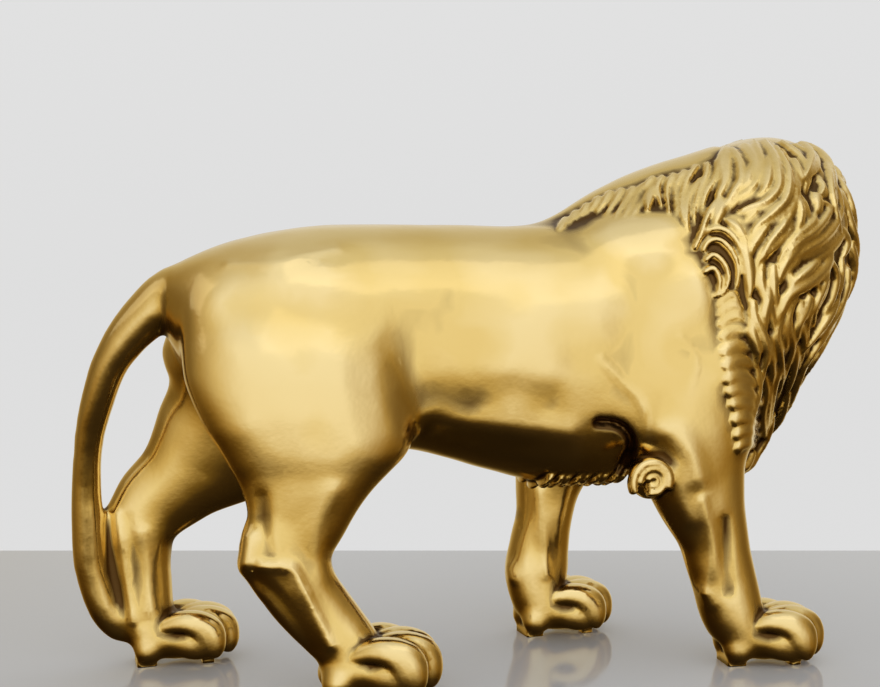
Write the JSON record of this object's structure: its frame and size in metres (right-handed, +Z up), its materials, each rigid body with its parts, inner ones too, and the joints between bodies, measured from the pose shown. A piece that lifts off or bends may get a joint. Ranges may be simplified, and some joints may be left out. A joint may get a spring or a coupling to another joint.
{
  "type": "lion garden statue",
  "caption": "Life-size walking male lion in polished golden brass, its head turned to its left and its tail running down to the far hind heel.",
  "frame": {"origin": "middle of the statue's box on the ground it stands on", "axes": "+X the way the lion walks, +Y to the lion's left, which its head is turned to, +Z up"},
  "size_m": [1.9554, 0.6592, 1.2576],
  "materials": {
    "polished_brass": "polished, with darker brown in the hollows"
  },
  "bodies": {
    "root": {"lion": "polished_brass"}
  },
  "joints": []
}
